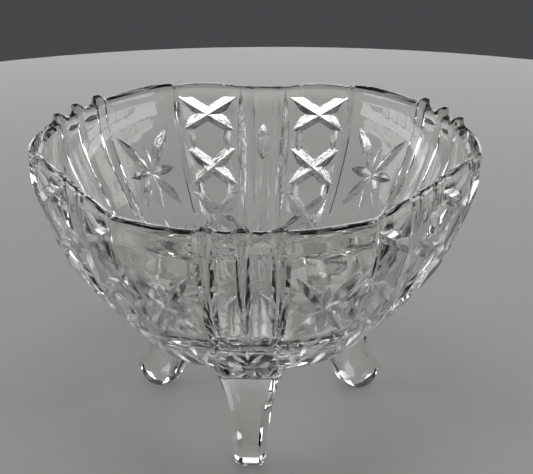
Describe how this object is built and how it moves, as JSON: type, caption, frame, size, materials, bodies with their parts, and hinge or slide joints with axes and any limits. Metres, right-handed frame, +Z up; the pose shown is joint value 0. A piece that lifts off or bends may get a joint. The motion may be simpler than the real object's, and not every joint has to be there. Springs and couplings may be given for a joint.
{
  "type": "punch bowl",
  "caption": "Large clear pressed-glass punch bowl with a cut-style star and hexagon pattern and a toothed rim, standing on scroll feet.",
  "frame": {"origin": "on the table, at the middle of the bowl's width and depth", "axes": "+Z up out of the bowl, -Y towards the front foot, +X to the bowl's right"},
  "size_m": [0.2558, 0.2418, 0.167],
  "materials": {
    "clear_glass": "polished"
  },
  "bodies": {
    "root": {"bowl": "clear_glass", "front_foot": "clear_glass", "rear_right_foot": "clear_glass", "rear_left_foot": "clear_glass"}
  },
  "joints": []
}
